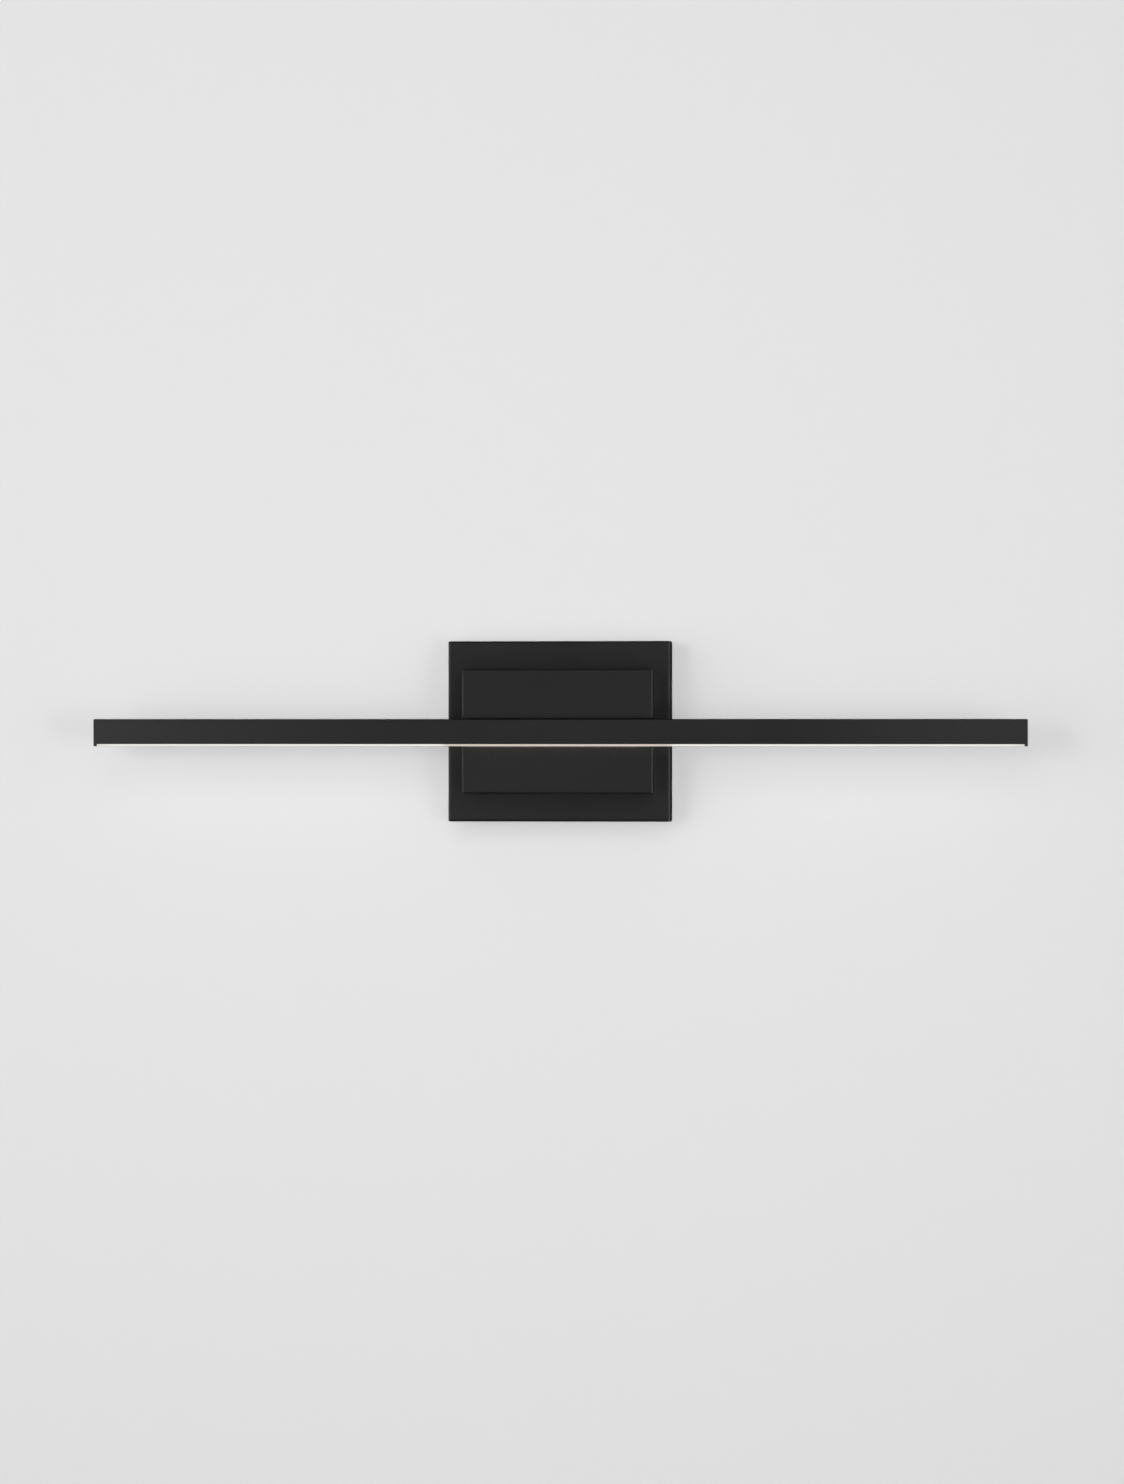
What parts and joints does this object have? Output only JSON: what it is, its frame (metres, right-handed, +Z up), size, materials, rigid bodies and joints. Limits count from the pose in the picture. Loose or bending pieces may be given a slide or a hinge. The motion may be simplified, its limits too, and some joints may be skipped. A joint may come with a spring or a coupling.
{
  "type": "vanity light bar",
  "caption": "Slim black wall light: a straight bar with a frosted lens underneath, nested in a channel across a box housing on a shallow backplate that hangs on a slotted wall bracket.",
  "frame": {"origin": "centre of the wall bracket's slot pattern, on the bracket's back face, which lies on the wall", "axes": "+X along the bar to the right as seen from the room, +Y into the wall, +Z up"},
  "size_m": [0.61, 0.044, 0.1188],
  "materials": {
    "black_steel_sheet": "matte black powder coat on pressed steel",
    "black_aluminium": "matte black powder coat on aluminium",
    "frosted_lens": "frosted opal acrylic, lit from inside",
    "zinc_steel": "bright zinc plate",
    "black_steel": "black oxide",
    "ground_green": "green ground screw finish",
    "terminal_brass": "plain brass",
    "white_nylon": "moulded nylon",
    "driver_plastic": "moulded flame-retardant plastic",
    "circuit_board": "glass-fibre board with green mask",
    "ferrite": "ferrite core with a taped winding",
    "capacitor_sleeve": "shrink sleeve",
    "board_white": "white solder mask on an aluminium board",
    "light_chip": "phosphor-coated light chip",
    "thermal_pad": "soft thermal tape",
    "grommet_rubber": "soft black rubber",
    "lead_black": "smooth insulation",
    "lead_white": "smooth insulation",
    "lead_green": "smooth insulation",
    "lead_red": "smooth insulation"
  },
  "bodies": {
    "bracket": {"mounting_bracket": "zinc_steel", "ground_screw": "ground_green"},
    "fixture": {"backplate": "black_steel_sheet", "bar_channel": "black_aluminium", "bar_nuts": "zinc_steel", "bar_screws": "zinc_steel", "center_housing": "black_aluminium", "diffuser": "frosted_lens", "driver_board": "circuit_board", "driver_capacitors": "capacitor_sleeve", "driver_case": "driver_plastic", "driver_lid": "driver_plastic", "driver_screws": "zinc_steel", "driver_sockets": "white_nylon", "driver_transformer": "ferrite", "earth_lead": "lead_green", "earth_screw": "zinc_steel", "end_cap_left": "black_aluminium", "end_cap_right": "black_aluminium", "housing_screws": "zinc_steel", "led_board": "board_white", "led_chips": "light_chip", "live_lead": "lead_black", "negative_lead": "lead_black", "neutral_lead": "lead_white", "positive_lead": "lead_red", "ring_terminal": "zinc_steel", "set_screw_nuts": "zinc_steel", "terminal_block": "white_nylon", "terminal_block_screws": "zinc_steel", "terminal_screws": "terminal_brass", "thermal_tape": "thermal_pad", "wire_grommet": "grommet_rubber"},
    "left_set_screw": {"set_screw_left": "black_steel"},
    "right_set_screw": {"set_screw_right": "black_steel"}
  },
  "joints": [
    {"name": "fixture_lift_off", "type": "slide", "parent": "bracket", "child": "fixture", "axis": [0, -1, 0], "range_m": [0, 0.06]},
    {"name": "left_set_screw_travel", "type": "slide", "parent": "fixture", "child": "left_set_screw", "axis": [-1, 0, 0], "range_m": [0, 0.003]},
    {"name": "right_set_screw_travel", "type": "slide", "parent": "fixture", "child": "right_set_screw", "axis": [1, 0, 0], "range_m": [0, 0.003]}
  ]
}
